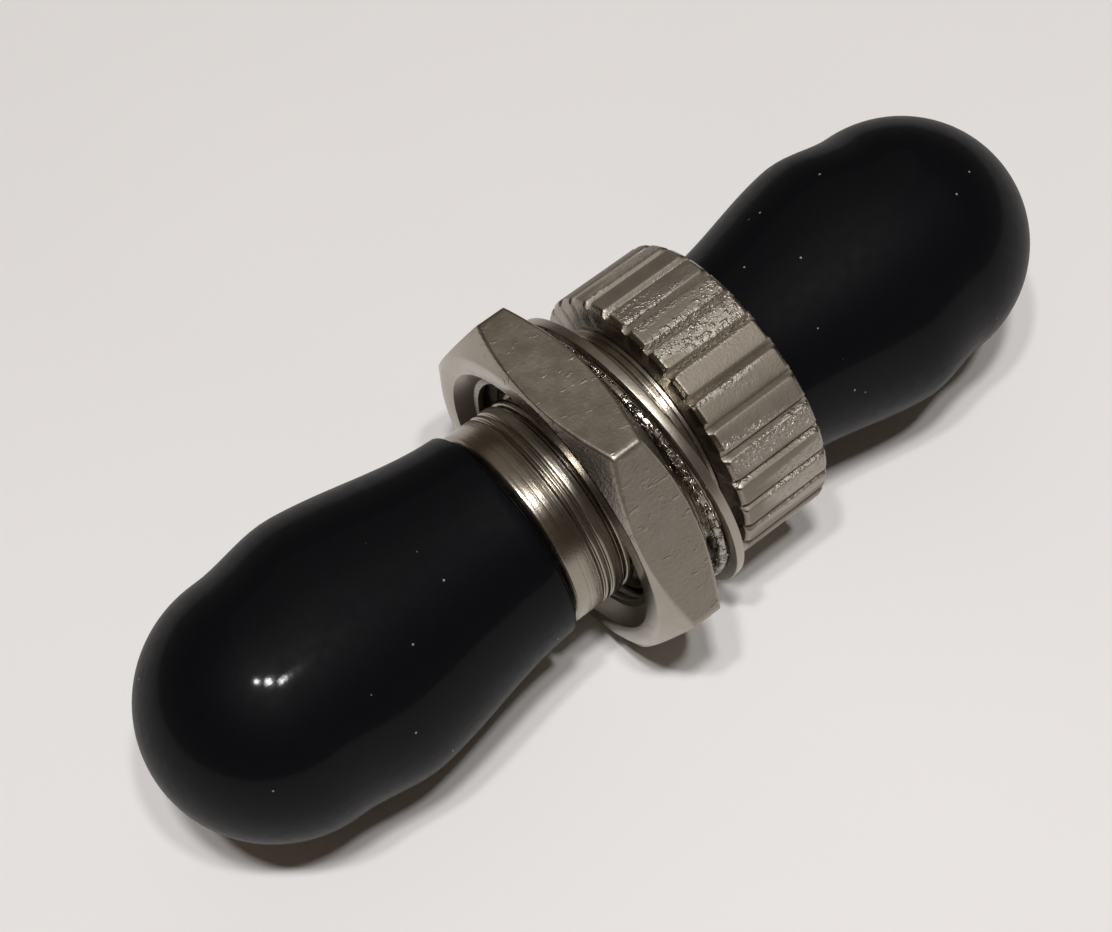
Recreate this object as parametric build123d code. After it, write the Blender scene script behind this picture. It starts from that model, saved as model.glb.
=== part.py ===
from build123d import *
import math
import os

# Fibre adapter that joins two bayonet plugs end to end through a panel, in millimetres.
# The axis is X: the front port points to -X and the rear port to +X.
# The origin is the point on the axis where the two ferrules meet. A flat of the nut faces down.

# Bayonet ports, alike at both ends
PORT_END = 14.5            # from the origin to the open end of either port
PORT_R = 3.95              # outside of the port barrel
SOCKET_R = 3.0             # inside of the port barrel
PORT_BEVEL = 0.3
LUG_X = 12.55              # from the origin to the centre of the bayonet lugs
LUG_TIP_R = 4.85
LUG_DIAMETER = 1.6
LUG_ANGLE = 30.0           # about the axis, from +Y towards +Z
KEYWAY_WIDTH = 2.1
KEYWAY_LENGTH = 4.6

# Front body: barrel, thread and the spigot that is pressed into the rear body
BARREL_R = 4.4
BARREL_FRONT_X = -5.3      # shoulder between the port and the barrel
BARREL_BEVEL = 0.25
BAND_BEVEL = 0.1           # where the barrel ends, before the thread
THREAD_MAJOR_R = 5.5
THREAD_PITCH = 1.0
THREAD_FRONT_X = -2.35
THREAD_R = THREAD_MAJOR_R - 0.325 * THREAD_PITCH  # pitch radius, which stands for the fine thread
THREAD_BEVEL = 0.35
RELIEF_WIDTH = 1.1         # run-out groove between the thread and the collar
RELIEF_DEPTH = 0.3
SPIGOT_R = 4.0
SPIGOT_END_X = 4.6
FINE_GROOVE_SET = (1.4, 1.74)   # from the shoulder
FINE_GROOVE_WIDTH = 0.12
FINE_GROOVE_DEPTH = 0.1
UNDERCUT_FROM_SHOULDER = 2.36
UNDERCUT_WIDTH = 0.2
UNDERCUT_DEPTH = 0.25

# Rear body: the ribbed collar that the panel is clamped against
COLLAR_FRONT_X = 1.8
COLLAR_REAR_X = 6.0
COLLAR_R = 6.2
COLLAR_BEVEL = 0.16
RIB_COUNT = 30
RIB_GROOVE_WIDTH = 0.48
RIB_GROOVE_DEPTH = 0.26

# Alignment sleeve and the two holders that trap it
FERRULE_R = 1.25
SLEEVE_WALL = 0.35
SLEEVE_LENGTH = 11.4
SLEEVE_SLIT = 0.5
SLEEVE_FLOAT = 0.08        # radial play of the sleeve in its holders
SLEEVE_END_PLAY = 0.1
WEB_END_X = 4.0            # half length of the web that grips the holders
HOLDER_R = 2.2
HOLDER_FLANGE_R = 2.7
HOLDER_FLANGE = 0.5
HOLDER_LIP = 0.5
HOLDER_MOUTH_PLAY = 0.2    # radial, round the ferrule
HOLDER_MOUTH_FLARE = 0.3
HOLDER_JOINT_GAP = 0.05    # half the gap where the holders meet

# Hex nut
NUT_ACROSS_FLATS = 14.0
NUT_FRONT_X = -3.18
NUT_THICKNESS = 2.7
NUT_FACE_INSET = 0.18      # from a flat to the circle that the corner bevel leaves on each face
NUT_BEVEL_ANGLE = 30.0
NUT_COUNTERSINK = 0.3      # radial, past the crest of the thread
THREAD_CLEARANCE = 0.04    # radial, between nut and thread

# Washers, which hang loose on the thread and lean
LOCK_WASHER_R = 6.15
LOCK_WASHER_RIM = 0.4
LOCK_WASHER_THICKNESS = 0.35
LOCK_WASHER_X = 0.32
LOCK_WASHER_DROP = 0.33    # how far it hangs below the axis
LOCK_TOOTH_COUNT = 12
LOCK_TOOTH_WIDTH = 1.3
LOCK_TOOTH_TWIST = 12.0
LOCK_TOOTH_ROOT = 0.08     # how far a tooth reaches into the rim
FLAT_WASHER_R = 6.55
FLAT_WASHER_THICKNESS = 0.4
FLAT_WASHER_X = 0.8
FLAT_WASHER_DROP = 0.42
FLAT_WASHER_HOLE_PLAY = 0.42   # radial, left between hole and thread where the washer hangs
LOCK_TOOTH_PLAY = 0.07     # the same, between tooth tips and thread
WASHER_LEAN = 4.4
WASHER_LEAN_TOWARDS = 230.0  # about the axis, the side that leans to the rear

# Vinyl dust caps, stretched over the lugs
CAP_WALL = 0.65
CAP_GRIP_CLEARANCE = 0.03
CAP_SEAT_GAP = 0.05
CAP_GRIP_LENGTH = 1.0      # from the mouth, where the cap hugs the port
CAP_GRIP_SWELL = 0.08
CAP_DOME_R = 5.36
CAP_BULGE_R = 5.75         # over the lugs
FRONT_CAP_DOME_X = -16.2   # centre of the domed end
REAR_CAP_DOME_X = 15.55


def turned(points):
    """Solid of revolution about X from a closed outline of (x, radius) points."""
    return revolve(make_face(Polyline(*points, close=True)), Axis.X)


def tube(start, end, outer, inner):
    """Plain ring about X between two stations."""
    return turned([(start, inner), (end, inner), (end, outer), (start, outer)])


def rod(start, end, radius):
    """Plain cylinder about X between two stations."""
    return turned([(start, 0), (end, 0), (end, radius), (start, radius)])


def port_cuts():
    """Socket, its flared mouth and the keyway of the rear port."""
    overrun = 1.0
    socket = rod(WEB_END_X, PORT_END + overrun, SOCKET_R)
    flare = turned([
        (PORT_END - PORT_BEVEL, 0),
        (PORT_END + overrun, 0),
        (PORT_END + overrun, SOCKET_R + PORT_BEVEL + overrun),
        (PORT_END - PORT_BEVEL, SOCKET_R),
    ])
    slot_start = PORT_END - KEYWAY_LENGTH + KEYWAY_WIDTH / 2
    slot_mid = (slot_start + PORT_END + overrun) / 2
    slot = Pos(slot_mid, 0, PORT_R / 2) * Box(
        PORT_END + overrun - slot_start, KEYWAY_WIDTH, PORT_R + overrun
    )
    slot += Pos(slot_start, 0, PORT_R / 2) * Cylinder(KEYWAY_WIDTH / 2, PORT_R + overrun)
    return socket + flare + Rot(LUG_ANGLE, 0, 0) * slot


def lugs():
    """Two round bayonet lugs on the rear port, with tips on one cylinder."""
    bar = Rot(90, 0, 0) * Cylinder(LUG_DIAMETER / 2, 2 * LUG_TIP_R + 1)
    reach = LUG_DIAMETER
    envelope = tube(LUG_X - reach, LUG_X + reach, LUG_TIP_R, (PORT_R + SOCKET_R) / 2)
    return Rot(LUG_ANGLE, 0, 0) * (Pos(LUG_X, 0, 0) * bar) & envelope


def to_front(shape):
    """Mirror a rear feature to the front port."""
    return mirror(shape, about=Plane.YZ)


def port_outline(shoulder):
    """Outline points of a port barrel from its shoulder to its open end, along +X."""
    return [
        (shoulder, PORT_R),
        (PORT_END - PORT_BEVEL, PORT_R),
        (PORT_END, PORT_R - PORT_BEVEL),
        (PORT_END, 0),
    ]


def front_body():
    """Port, grooved barrel, threaded length and spigot turned from one bar."""
    port = [(-x, r) for x, r in reversed(port_outline(-BARREL_FRONT_X))]
    body = turned(port + [
        (BARREL_FRONT_X, BARREL_R - BARREL_BEVEL),
        (BARREL_FRONT_X + BARREL_BEVEL, BARREL_R),
        (THREAD_FRONT_X - BAND_BEVEL, BARREL_R),
        (THREAD_FRONT_X, BARREL_R - BAND_BEVEL),
        (THREAD_FRONT_X, THREAD_R - THREAD_BEVEL),
        (THREAD_FRONT_X + THREAD_BEVEL, THREAD_R),
        (COLLAR_FRONT_X - RELIEF_WIDTH, THREAD_R),
        (COLLAR_FRONT_X - RELIEF_WIDTH, THREAD_R - RELIEF_DEPTH),
        (COLLAR_FRONT_X, THREAD_R - RELIEF_DEPTH),
        (COLLAR_FRONT_X, SPIGOT_R),
        (SPIGOT_END_X, SPIGOT_R),
        (SPIGOT_END_X, 0),
    ])
    for offset in FINE_GROOVE_SET:
        start = BARREL_FRONT_X + offset
        body -= tube(start, start + FINE_GROOVE_WIDTH, BARREL_R + 1, BARREL_R - FINE_GROOVE_DEPTH)
    start = BARREL_FRONT_X + UNDERCUT_FROM_SHOULDER
    body -= tube(start, start + UNDERCUT_WIDTH, BARREL_R + 1, BARREL_R - UNDERCUT_DEPTH)
    body += to_front(lugs())
    body -= to_front(port_cuts())
    body -= rod(-WEB_END_X - 1, WEB_END_X, HOLDER_R)
    body -= rod(WEB_END_X, SPIGOT_END_X + 1, SOCKET_R)
    return body


def ribbed_collar():
    """Collar with straight ribs parted by V grooves, and bevelled ends."""
    flank = math.atan2(RIB_GROOVE_WIDTH / 2, RIB_GROOVE_DEPTH)
    over = 0.3
    half_mouth = (RIB_GROOVE_DEPTH + over) * math.tan(flank)
    groove = make_face(Polyline(
        (COLLAR_R - RIB_GROOVE_DEPTH, 0),
        (COLLAR_R + over, half_mouth),
        (COLLAR_R + over, -half_mouth),
        close=True,
    ))
    section = Circle(COLLAR_R) - PolarLocations(0, RIB_COUNT) * groove
    length = COLLAR_REAR_X - COLLAR_FRONT_X
    ribs = extrude(Plane.YZ.offset(COLLAR_FRONT_X) * section, length)
    return ribs & turned([
        (COLLAR_FRONT_X, 0),
        (COLLAR_FRONT_X, COLLAR_R - COLLAR_BEVEL),
        (COLLAR_FRONT_X + COLLAR_BEVEL, COLLAR_R),
        (COLLAR_REAR_X - COLLAR_BEVEL, COLLAR_R),
        (COLLAR_REAR_X, COLLAR_R - COLLAR_BEVEL),
        (COLLAR_REAR_X, 0),
    ])


def rear_body():
    """Ribbed collar and rear port in one, bored for the front body's spigot."""
    body = ribbed_collar()
    body += turned([(COLLAR_FRONT_X + 1, 0), (COLLAR_FRONT_X + 1, PORT_R)] + port_outline(COLLAR_REAR_X))
    body += lugs()
    body -= port_cuts()
    body -= rod(COLLAR_FRONT_X - 1, SPIGOT_END_X, SPIGOT_R)
    return body


def alignment_sleeve():
    """Split sleeve that lines up the two ferrules."""
    half = SLEEVE_LENGTH / 2
    sleeve = tube(-half, half, FERRULE_R + SLEEVE_WALL, FERRULE_R)
    slit = Pos(0, 0, FERRULE_R + SLEEVE_WALL / 2) * Box(SLEEVE_LENGTH + 1, SLEEVE_SLIT, 3 * SLEEVE_WALL)
    return sleeve - slit


def sleeve_holder():
    """Flanged bush of the rear side: grips in the web and traps the sleeve with its lip."""
    chamber_r = FERRULE_R + SLEEVE_WALL + SLEEVE_FLOAT
    chamber_end = SLEEVE_LENGTH / 2 + SLEEVE_END_PLAY
    end = chamber_end + HOLDER_LIP
    mouth_r = FERRULE_R + HOLDER_MOUTH_PLAY
    return turned([
        (HOLDER_JOINT_GAP, chamber_r),
        (HOLDER_JOINT_GAP, HOLDER_R),
        (WEB_END_X, HOLDER_R),
        (WEB_END_X, HOLDER_FLANGE_R),
        (WEB_END_X + HOLDER_FLANGE, HOLDER_FLANGE_R),
        (WEB_END_X + HOLDER_FLANGE, HOLDER_R),
        (end, HOLDER_R),
        (end, mouth_r + HOLDER_MOUTH_FLARE),
        (end - HOLDER_MOUTH_FLARE, mouth_r),
        (chamber_end, mouth_r),
        (chamber_end, chamber_r),
    ])


def hex_nut():
    """Nut with bevelled corners and a countersunk bore."""
    bore_r = THREAD_R + THREAD_CLEARANCE
    sink_r = THREAD_MAJOR_R + NUT_COUNTERSINK
    sink = sink_r - bore_r
    rear = NUT_FRONT_X + NUT_THICKNESS
    blank = RegularPolygon(NUT_ACROSS_FLATS / 2, 6, major_radius=False)
    nut = extrude(Plane.YZ.offset(NUT_FRONT_X) * blank, NUT_THICKNESS)
    face_r = NUT_ACROSS_FLATS / 2 - NUT_FACE_INSET
    outer = NUT_ACROSS_FLATS / math.sqrt(3) + 0.1
    bevel = (outer - face_r) * math.tan(math.radians(NUT_BEVEL_ANGLE))
    for face, inwards in ((NUT_FRONT_X, 1), (rear, -1)):
        far = face + inwards * NUT_THICKNESS
        nut &= turned([
            (face, 0),
            (face, face_r),
            (face + inwards * bevel, outer),
            (far + inwards * bevel, outer),
            (far + inwards * bevel, 0),
        ])
        nut -= turned([
            (face, 0),
            (face, sink_r),
            (face + inwards * sink, bore_r),
            (far, bore_r),
            (far, 0),
        ])
    return nut


def hung(washer, station, drop):
    """Put a washer at its station, hanging on the thread and leaning."""
    return Pos(station, 0, -drop) * Rot(WASHER_LEAN_TOWARDS, 0, 0) * Rot(0, 0, -WASHER_LEAN) * washer


def lock_washer():
    """Lock washer with twisted teeth round its hole."""
    half = LOCK_WASHER_THICKNESS / 2
    rim_r = LOCK_WASHER_R - LOCK_WASHER_RIM
    tip_r = THREAD_R + LOCK_WASHER_DROP + LOCK_TOOTH_PLAY
    root_r = rim_r + LOCK_TOOTH_ROOT
    washer = tube(-half, half, LOCK_WASHER_R, rim_r)
    tooth = Pos(0, (tip_r + root_r) / 2, 0) * Rot(0, LOCK_TOOTH_TWIST, 0) * Box(
        LOCK_WASHER_THICKNESS, root_r - tip_r, LOCK_TOOTH_WIDTH
    )
    for index in range(LOCK_TOOTH_COUNT):
        washer += Rot(index * 360 / LOCK_TOOTH_COUNT, 0, 0) * tooth
    return hung(washer, LOCK_WASHER_X, LOCK_WASHER_DROP)


def flat_washer():
    """Plain washer that lies against the panel."""
    half = FLAT_WASHER_THICKNESS / 2
    hole_r = THREAD_R + FLAT_WASHER_DROP + FLAT_WASHER_HOLE_PLAY
    return hung(tube(-half, half, FLAT_WASHER_R, hole_r), FLAT_WASHER_X, FLAT_WASHER_DROP)


def cap_skin(seat, dome_centre, inset):
    """Closed skin of the rear cap, drawn in by inset: a sleeve that swells over the lugs, then a dome."""
    grip_r = PORT_R + CAP_GRIP_CLEARANCE + CAP_WALL - inset
    dome_r = CAP_DOME_R - inset
    bulge_r = CAP_BULGE_R - inset
    shoulder_x = (LUG_X + dome_centre) / 2
    stations = [
        (seat, grip_r, grip_r),
        (seat + CAP_GRIP_LENGTH, grip_r + CAP_GRIP_SWELL, grip_r + CAP_GRIP_SWELL),
        ((seat + LUG_X) / 2, (grip_r + bulge_r) / 2, (grip_r + dome_r) / 2),
        (LUG_X, bulge_r, (grip_r + 3 * dome_r) / 4),
        (shoulder_x, (bulge_r + 3 * dome_r) / 4, dome_r),
        (dome_centre, dome_r, dome_r),
    ]
    across = (0, math.cos(math.radians(LUG_ANGLE)), math.sin(math.radians(LUG_ANGLE)))
    sections = [
        Plane(origin=(x, 0, 0), x_dir=across, z_dir=(1, 0, 0)) * Ellipse(wide, narrow)
        for x, wide, narrow in stations
    ]
    start = Pos(dome_centre, 0, 0)
    dome = revolve(make_face(
        Line((0, 0), (dome_r, 0)) + CenterArc((0, 0), dome_r, 0, 90) + Line((0, dome_r), (0, 0))
    ), Axis.X)
    return loft(sections) + start * dome


def dust_cap(seat, dome_centre):
    """Hollow vinyl cap of the rear port."""
    mouth = seat + CAP_SEAT_GAP
    return cap_skin(mouth, dome_centre, 0) - cap_skin(mouth, dome_centre, CAP_WALL)


NODES = {
    "front_body": front_body(),
    "rear_body": rear_body(),
    "alignment_sleeve": alignment_sleeve(),
    "front_sleeve_holder": to_front(sleeve_holder()),
    "rear_sleeve_holder": sleeve_holder(),
    "hex_nut": hex_nut(),
    "lock_washer": lock_washer(),
    "flat_washer": flat_washer(),
    "front_dust_cap": to_front(dust_cap(-BARREL_FRONT_X, -FRONT_CAP_DOME_X)),
    "rear_dust_cap": dust_cap(COLLAR_REAR_X, REAR_CAP_DOME_X),
}

os.makedirs("parts", exist_ok=True)
for name, solid in NODES.items():
    solid.label = name
    export_step(solid, os.path.join("parts", name + ".step"))
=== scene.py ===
import logging
import math
import random
from collections.abc import Callable
from dataclasses import dataclass, field
from enum import Enum

import bmesh
import bpy
from mathutils import Matrix, Vector


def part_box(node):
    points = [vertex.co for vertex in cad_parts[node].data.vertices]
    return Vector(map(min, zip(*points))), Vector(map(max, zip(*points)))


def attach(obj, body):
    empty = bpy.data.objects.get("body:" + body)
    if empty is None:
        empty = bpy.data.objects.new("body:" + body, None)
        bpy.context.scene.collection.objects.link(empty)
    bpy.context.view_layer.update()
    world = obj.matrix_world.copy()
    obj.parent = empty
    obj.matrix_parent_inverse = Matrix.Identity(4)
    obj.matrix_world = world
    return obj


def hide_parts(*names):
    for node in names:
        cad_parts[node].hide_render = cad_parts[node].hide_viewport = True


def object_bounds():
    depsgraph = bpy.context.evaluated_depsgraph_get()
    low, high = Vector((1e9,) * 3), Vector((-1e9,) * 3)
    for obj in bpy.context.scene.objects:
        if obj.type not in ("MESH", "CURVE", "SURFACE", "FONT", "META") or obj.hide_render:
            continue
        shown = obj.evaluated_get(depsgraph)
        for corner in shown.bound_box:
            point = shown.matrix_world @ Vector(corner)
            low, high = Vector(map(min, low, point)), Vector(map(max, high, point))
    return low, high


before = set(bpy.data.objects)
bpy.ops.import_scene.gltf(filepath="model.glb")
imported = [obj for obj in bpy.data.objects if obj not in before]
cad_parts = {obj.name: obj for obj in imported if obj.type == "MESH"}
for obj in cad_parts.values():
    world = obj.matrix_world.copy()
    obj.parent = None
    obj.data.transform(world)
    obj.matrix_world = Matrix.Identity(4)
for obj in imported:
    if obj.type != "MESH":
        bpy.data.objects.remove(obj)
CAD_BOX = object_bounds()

log = logging.getLogger("adapter")

MM = 0.001
TURN = 2 * math.pi
IMAGE_WIDTH = 1112
EDGE_ROUNDING = 0.06
EDGE_STEPS = 3

Loop = list[Vector]
Outline = list[tuple[float, float]]
Triple = tuple[float, float, float]
Material = bpy.types.Material
Tree = bpy.types.NodeTree
Node = bpy.types.Node
Socket = bpy.types.NodeSocket
Piece = bpy.types.Object


class End(Enum):
    """The two ends of the adapter, by the way that their port points along X."""

    FRONT = -1
    REAR = 1


# Colour and node helpers


def linear(hex_colour: str) -> tuple[float, float, float, float]:
    """Turn an sRGB hex colour into linear RGBA.

    Args:
        hex_colour: Six hex digits, such as "8A8478".

    Returns:
        Linear red, green, blue and an alpha of 1.
    """
    parts = []
    for start in (0, 2, 4):
        value = int(hex_colour[start:start + 2], 16) / 255
        parts.append(value / 12.92 if value <= 0.04045 else ((value + 0.055) / 1.055) ** 2.4)
    return (parts[0], parts[1], parts[2], 1.0)


def per_metre(size_mm: float) -> float:
    """Texture scale at which one feature of the pattern is size_mm wide."""
    return 1 / (size_mm * MM)


def add_node(tree: Tree, kind: str, settings: dict, links: dict | None = None) -> Node:
    """Add one shader node with its settings and incoming links.

    Args:
        tree: Node tree of the material.
        kind: Blender's name of the node type.
        settings: Attribute names, or socket names or numbers, and their values.
        links: Socket names or numbers of the new node, and the output that feeds each.

    Returns:
        The new node.
    """
    node = tree.nodes.new(kind)
    for key, value in settings.items():
        if isinstance(key, str) and hasattr(node, key):
            setattr(node, key, value)
        else:
            node.inputs[key].default_value = value
    for key, output in (links or {}).items():
        tree.links.new(output, node.inputs[key])
    return node


def empty_material(name: str) -> tuple[Material, Tree, Socket]:
    """Make a node material with nothing in it but object coordinates.

    Args:
        name: Name of the material.

    Returns:
        The material, its node tree and the object coordinate output.
    """
    material = bpy.data.materials.new(name)
    material.use_nodes = True
    material.node_tree.nodes.clear()
    place = add_node(material.node_tree, "ShaderNodeTexCoord", {})
    return material, material.node_tree, place.outputs["Object"]


# Finishes


@dataclass(frozen=True)
class NickelPlate:
    """Satin nickel plate over turned or pressed metal.

    The plate is a warm grey mirror that is blurred by its own fine grain, so it shows the
    room as soft light and dark fields, with small bright specks where the grain catches light.
    The real grain is a few hundredths of a millimetre wide. It is drawn at about 0.1 mm, as
    coarse as it needs to be to show.
    """

    name: str
    colour: str = "B0AA9F"
    stain: str = "979083"
    mottle_mm: float = 1.6
    roughness: float = 0.27
    roughness_spread: float = 0.08
    face_roughness: float = 0.0
    face_from: float = 0.6
    face_to: float = 0.95
    grain_mm: float = 0.09
    grain_depth_mm: float = 0.004
    ring_mm: float = 0.0
    ring_depth_mm: float = 0.0
    nick_mm: float = 0.34
    nick_depth_mm: float = 0.0
    nick_turn: Triple = (0.6, 0.3, 0.9)
    nick_squeeze: Triple = (0.45, 1.0, 1.0)
    sand_mm: float = 0.13
    sand_depth_mm: float = 0.0
    sand_polish: float = 0.0
    # Painted highlight: a lighter colour mixed into the sandy patches that stands in for the glints
    # of their grains.
    sand_glint_colour: str = ""
    sand_outside_patches: float = 0.1
    patch_mm: float = 1.1
    patch_squeeze: Triple = (0.16, 1.0, 1.0)

    def build(self) -> Material:
        """Build the material.

        Returns:
            A node material with mottled colour and roughness, grain, lathe rings, nicks and sand.
            Sandy patches can also get a painted lighter tint that stands in for their glints.
        """
        material, tree, place = empty_material(self.name)
        mottle = add_node(tree, "ShaderNodeTexNoise", {
            "Scale": per_metre(self.mottle_mm), "Detail": 6.0, "Roughness": 0.65,
        }, {"Vector": place}).outputs["Fac"]
        tint = add_node(tree, "ShaderNodeMix", {
            "data_type": "RGBA", 6: linear(self.stain), 7: linear(self.colour),
        }, {0: mottle}).outputs[2]
        gloss = add_node(tree, "ShaderNodeMapRange", {
            "From Min": 0.3, "From Max": 0.7,
            "To Min": self.roughness - self.roughness_spread / 2,
            "To Max": self.roughness + self.roughness_spread / 2,
        }, {"Value": mottle}).outputs[0]
        if self.face_roughness:
            gloss = self._at_ends(tree, gloss, self.face_roughness)
        grain = add_node(tree, "ShaderNodeTexNoise", {
            "Scale": per_metre(self.grain_mm), "Detail": 3.0, "Roughness": 0.6,
        }, {"Vector": place})
        bump = add_node(tree, "ShaderNodeBump", {
            "Distance": self.grain_depth_mm * MM,
        }, {"Height": grain.outputs["Fac"]}).outputs[0]
        if self.ring_depth_mm:
            bump = self._rings(tree, place, bump)
        if self.nick_depth_mm:
            bump = self._nicks(tree, place, bump)
        if self.sand_depth_mm:
            share = self._sandy_share(tree, place)
            bump = self._sand(tree, place, share, bump)
            gloss = add_node(tree, "ShaderNodeMath", {
                "operation": "MULTIPLY_ADD", 1: -self.sand_polish,
            }, {0: share, 2: gloss}).outputs[0]
            # Painted highlight: the sandy patches are tinted lighter to stand in for the dense
            # glints of their grains.
            if self.sand_glint_colour:
                tint = add_node(tree, "ShaderNodeMix", {
                    "data_type": "RGBA", 7: linear(self.sand_glint_colour),
                }, {0: share, 6: tint}).outputs[2]
        shader = add_node(tree, "ShaderNodeBsdfPrincipled", {
            "Metallic": 1.0,
        }, {"Base Color": tint, "Roughness": gloss, "Normal": bump})
        add_node(tree, "ShaderNodeOutputMaterial", {}, {"Surface": shader.outputs[0]})
        return material

    def _at_ends(self, tree: Tree, sides: Socket, value: float) -> Socket:
        """Give the turned end faces, and the worn edges next to them, a value of their own.

        Args:
            tree: Node tree of the material.
            sides: Output with the value of the sides.
            value: Value of the end faces.

        Returns:
            The output with the value of both.
        """
        facing = add_node(tree, "ShaderNodeTexCoord", {})
        split = add_node(tree, "ShaderNodeSeparateXYZ", {}, {0: facing.outputs["Normal"]})
        along = add_node(tree, "ShaderNodeMath", {"operation": "ABSOLUTE"}, {0: split.outputs["X"]})
        return add_node(tree, "ShaderNodeMapRange", {
            "From Min": self.face_from, "From Max": self.face_to, "To Max": value,
        }, {"Value": along.outputs[0], "To Min": sides}).outputs[0]

    def _rings(self, tree: Tree, place: Socket, under: Socket) -> Socket:
        """Add the fine rings that a lathe tool leaves, spaced along the axis.

        Real ones stand a few hundredths of a millimetre apart, too fine to show, so these are
        drawn about 0.2 mm apart.

        Args:
            tree: Node tree of the material.
            place: Object coordinates.
            under: Normal that the rings lie on.

        Returns:
            The normal with the rings.
        """
        along = add_node(tree, "ShaderNodeSeparateXYZ", {}, {0: place})
        scaled = add_node(tree, "ShaderNodeMath", {
            "operation": "MULTIPLY", 1: per_metre(self.ring_mm),
        }, {0: along.outputs["X"]})
        rings = add_node(tree, "ShaderNodeTexNoise", {
            "noise_dimensions": "1D", "Scale": 1.0, "Detail": 3.0, "Roughness": 0.7,
        }, {"W": scaled.outputs[0]})
        return add_node(tree, "ShaderNodeBump", {
            "Distance": self.ring_depth_mm * MM,
        }, {"Height": rings.outputs["Fac"], "Normal": under}).outputs[0]

    def _nicks(self, tree: Tree, place: Socket, under: Socket) -> Socket:
        """Add small raised flecks from handling, which are the peaks of a drawn out noise.

        Args:
            tree: Node tree of the material.
            place: Object coordinates.
            under: Normal that the nicks lie on.

        Returns:
            The normal with the nicks.
        """
        turned = add_node(tree, "ShaderNodeMapping", {
            "Rotation": self.nick_turn, "Scale": self.nick_squeeze,
        }, {"Vector": place})
        streaks = add_node(tree, "ShaderNodeTexNoise", {
            "Scale": per_metre(self.nick_mm), "Detail": 3.0, "Roughness": 0.55,
        }, {"Vector": turned.outputs[0]})
        peaks = add_node(tree, "ShaderNodeMapRange", {
            "From Min": 0.62, "From Max": 0.7,
        }, {"Value": streaks.outputs["Fac"]})
        return add_node(tree, "ShaderNodeBump", {
            "Distance": self.nick_depth_mm * MM,
        }, {"Height": peaks.outputs[0], "Normal": under}).outputs[0]

    def _sandy_share(self, tree: Tree, place: Socket) -> Socket:
        """Choose the patches, drawn out along the axis, where sandy grains lie.

        Args:
            tree: Node tree of the material.
            place: Object coordinates.

        Returns:
            An output that is 1 in the patches, sand_outside_patches elsewhere, and 0 on end
            faces that have a finish of their own.
        """
        drawn = add_node(tree, "ShaderNodeMapping", {
            "Scale": self.patch_squeeze,
        }, {"Vector": place})
        patch = add_node(tree, "ShaderNodeTexNoise", {
            "Scale": per_metre(self.patch_mm), "Detail": 1.0,
        }, {"Vector": drawn.outputs[0]})
        share = add_node(tree, "ShaderNodeMapRange", {
            "From Min": 0.48, "From Max": 0.55, "To Min": self.sand_outside_patches,
        }, {"Value": patch.outputs["Fac"]}).outputs[0]
        return self._at_ends(tree, share, 0.0) if self.face_roughness else share

    def _sand(self, tree: Tree, place: Socket, share: Socket, under: Socket) -> Socket:
        """Add raised sandy grains.

        Args:
            tree: Node tree of the material.
            place: Object coordinates.
            share: Output that says where the grains lie.
            under: Normal that the sand lies on.

        Returns:
            The normal with the sand.
        """
        sand = add_node(tree, "ShaderNodeTexNoise", {
            "Scale": per_metre(self.sand_mm), "Detail": 2.0, "Roughness": 0.6,
        }, {"Vector": place})
        grains = add_node(tree, "ShaderNodeMapRange", {
            "From Min": 0.48, "From Max": 0.68,
        }, {"Value": sand.outputs["Fac"]})
        links = {0: grains.outputs[0], 1: share}
        height = add_node(tree, "ShaderNodeMath", {"operation": "MULTIPLY"}, links)
        return add_node(tree, "ShaderNodeBump", {
            "Distance": self.sand_depth_mm * MM,
        }, {"Height": height.outputs[0], "Normal": under}).outputs[0]


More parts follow.
